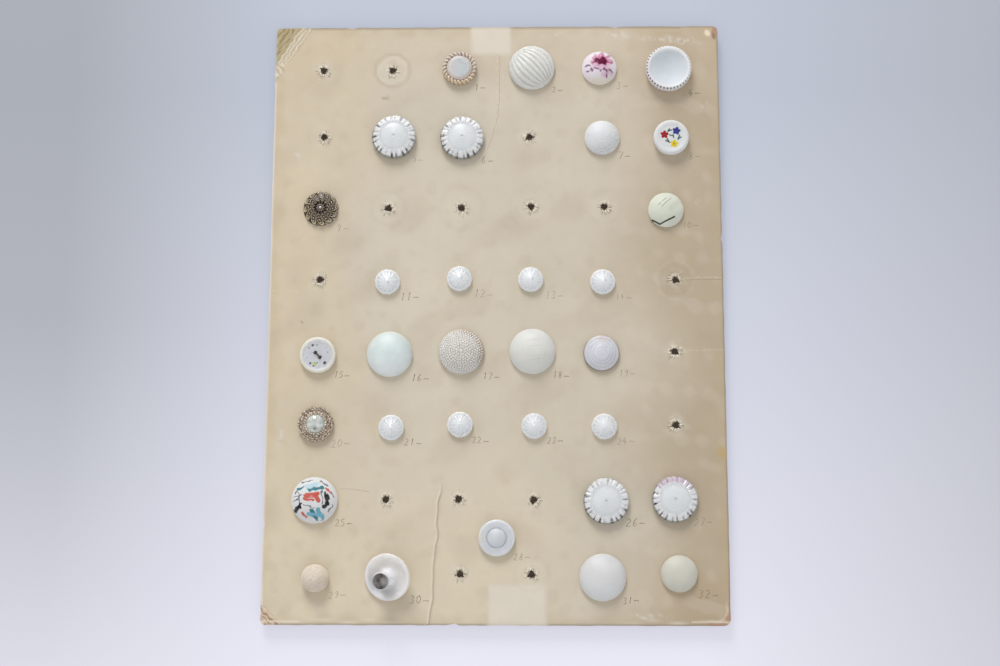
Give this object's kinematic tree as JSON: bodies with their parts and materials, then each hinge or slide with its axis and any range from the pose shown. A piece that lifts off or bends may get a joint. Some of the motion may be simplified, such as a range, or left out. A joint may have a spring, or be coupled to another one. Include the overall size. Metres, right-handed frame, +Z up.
{
  "type": "card of buttons",
  "caption": "Flat punched card with old pressed-glass buttons of many shapes, each held by its shank through a hole in a regular grid.",
  "frame": {"origin": "under the middle of the card, at the height of the shank ends on which it rests", "axes": "+X to the right of the card seen from its front, +Y to the head of the card, +Z up out of its front face"},
  "size_m": [0.2286, 0.3048, 0.0203],
  "materials": {
    "card_board": "aged uncoated mat board",
    "white_glass": "opaque pressed glass, polished",
    "cream_glass": "opaque pressed glass, satin",
    "green_cream_glass": "opaque pressed glass, satin, with black painted lines",
    "mint_glass": "opaque glass with a fine frosted stipple",
    "pearl_glass": "pearly opaque glass with silver lustre on its flutes",
    "daisy_glass": "opaque pressed glass, polished",
    "painted_white_glass": "opaque white glass with small painted shapes",
    "gilt_rim_glass": "pale opaline glass with gold lustre on its border",
    "bronze_glass": "dark glass with bronze lustre",
    "lace_metal": "worn gilt",
    "clear_crystal": "faceted clear glass",
    "mirror_glass": "dark foiled mirror",
    "pin_wire": "dull steel wire",
    "staple_wire": "dark tarnished wire"
  },
  "bodies": {
    "root": {"mounting_card": "card_board", "rope_rim_cabochon_button": "gilt_rim_glass", "melon_ribbed_button": "white_glass", "pink_floral_button": "painted_white_glass", "dished_corded_rim_button": "white_glass", "fluted_moonglow_button_1": "pearl_glass", "fluted_moonglow_button_2": "pearl_glass", "fan_textured_button": "white_glass", "flower_painted_button": "painted_white_glass", "bronze_swirl_button": "bronze_glass", "creased_cream_button": "green_cream_glass", "daisy_button_1": "daisy_glass", "daisy_button_2": "daisy_glass", "daisy_button_3": "daisy_glass", "daisy_button_4": "daisy_glass", "frosted_dome_button": "mint_glass", "beaded_dome_button": "cream_glass", "woven_dome_button": "cream_glass", "terraced_button": "white_glass", "filigree_button_setting": "lace_metal", "daisy_button_5": "daisy_glass", "daisy_button_6": "daisy_glass", "daisy_button_7": "daisy_glass", "daisy_button_8": "daisy_glass", "brushwork_button": "painted_white_glass", "fluted_moonglow_button_3": "pearl_glass", "fluted_moonglow_button_4": "pearl_glass", "raised_eye_button": "white_glass", "knotted_ball_button": "cream_glass", "plain_white_button": "white_glass", "plain_cream_button": "cream_glass", "filigree_button_crystal": "clear_crystal", "two_hole_button": "painted_white_glass", "two_hole_button_wire": "staple_wire", "mirror_post_button": "white_glass", "post_mirror": "mirror_glass", "keeper_pins": "pin_wire"}
  },
  "joints": []
}
